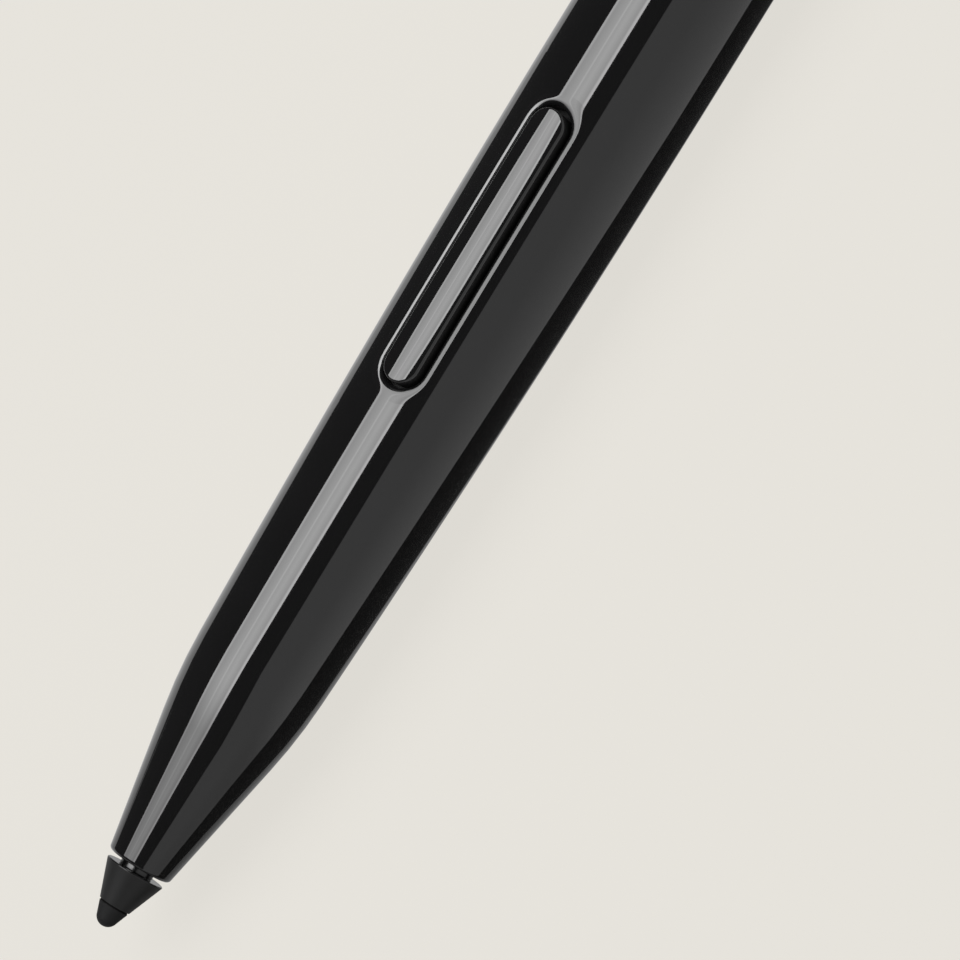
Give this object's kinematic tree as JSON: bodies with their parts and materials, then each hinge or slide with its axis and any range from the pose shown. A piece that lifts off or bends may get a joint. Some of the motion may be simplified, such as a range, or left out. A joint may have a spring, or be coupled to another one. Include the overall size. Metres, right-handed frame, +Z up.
{
  "type": "stylus pen",
  "caption": "Round gloss-black active stylus with a sprung conical nib, a long pill-shaped side key on a switch and a rear cap that unscrews for the cell.",
  "frame": {"origin": "on the surface that the pen lies on, under the middle of its length", "axes": "+X along the pen's axis from the nib to the rear cap, +Z up through the side key"},
  "size_m": [0.146, 0.0116, 0.0119],
  "materials": {
    "shell_black": "polished, piano black",
    "nib_black": "fine matte",
    "tip_black": "smooth matte",
    "stem_steel": "polished, darkened",
    "acetal_white": "moulded",
    "inner_grey": "moulded",
    "spring_steel": "drawn wire and strip",
    "electrode_brass": "plated sheet",
    "brass": "turned",
    "sensor_can": "satin",
    "pad_rubber": "soft",
    "board_green": "solder mask",
    "chip_black": "moulded",
    "switch_case": "moulded",
    "cell_sleeve": "plain sleeve, bare ends",
    "seal_rubber": "smooth"
  },
  "bodies": {
    "barrel_body": {"barrel": "shell_black", "nose_bush": "acetal_white", "ring_electrode": "electrode_brass", "nib_spring": "spring_steel", "sensor_holder": "inner_grey", "force_sensor": "sensor_can", "sensor_pad": "pad_rubber", "sensor_pins": "electrode_brass", "switch_body": "switch_case", "chassis": "inner_grey", "main_board": "board_green", "board_screws": "spring_steel", "controller_chip": "chip_black", "radio_chip": "chip_black", "boost_coil": "switch_case", "board_capacitors": "acetal_white", "front_contact": "spring_steel", "battery_cell": "cell_sleeve", "ground_strip": "spring_steel", "thread_insert": "brass"},
    "stem_body": {"nib_stem": "stem_steel", "stem_collar": "stem_steel"},
    "nib_body": {"nib_cone": "nib_black", "nib_tip": "tip_black"},
    "key_body": {"side_key": "shell_black", "switch_plunger": "acetal_white"},
    "seal_body": {"cap_seal": "seal_rubber"},
    "cap_body": {"rear_cap": "shell_black", "cap_collar": "brass", "contact_plate": "spring_steel", "cap_spring": "spring_steel"}
  },
  "joints": [
    {"name": "nib_press", "type": "slide", "parent": "barrel_body", "child": "stem_body", "axis": [1, 0, 0], "range_m": [0, 0.0003], "stiffness_N_per_m": 800, "springref_m": -0.0002, "deforming": ["nib_spring"]},
    {"name": "nib_pull", "type": "slide", "parent": "stem_body", "child": "nib_body", "axis": [-1, 0, 0], "range_m": [0, 0.004]},
    {"name": "key_press", "type": "slide", "parent": "barrel_body", "child": "key_body", "axis": [0, 0, -1], "range_m": [0, 0.00025], "stiffness_N_per_m": 2000, "springref_m": -0.0002},
    {"name": "cap_travel", "type": "slide", "parent": "barrel_body", "child": "seal_body", "axis": [1, 0, 0], "range_m": [0, 0.004]},
    {"name": "cap_turn", "type": "hinge", "parent": "seal_body", "child": "cap_body", "pos_m": [0.05399, 0, 0.00575], "axis": [1, 0, 0], "range_deg": [0, 1440]}
  ],
  "couplings": [
    {"joint": "cap_turn", "follows": "cap_travel", "rad_per_m": 6283.2}
  ]
}
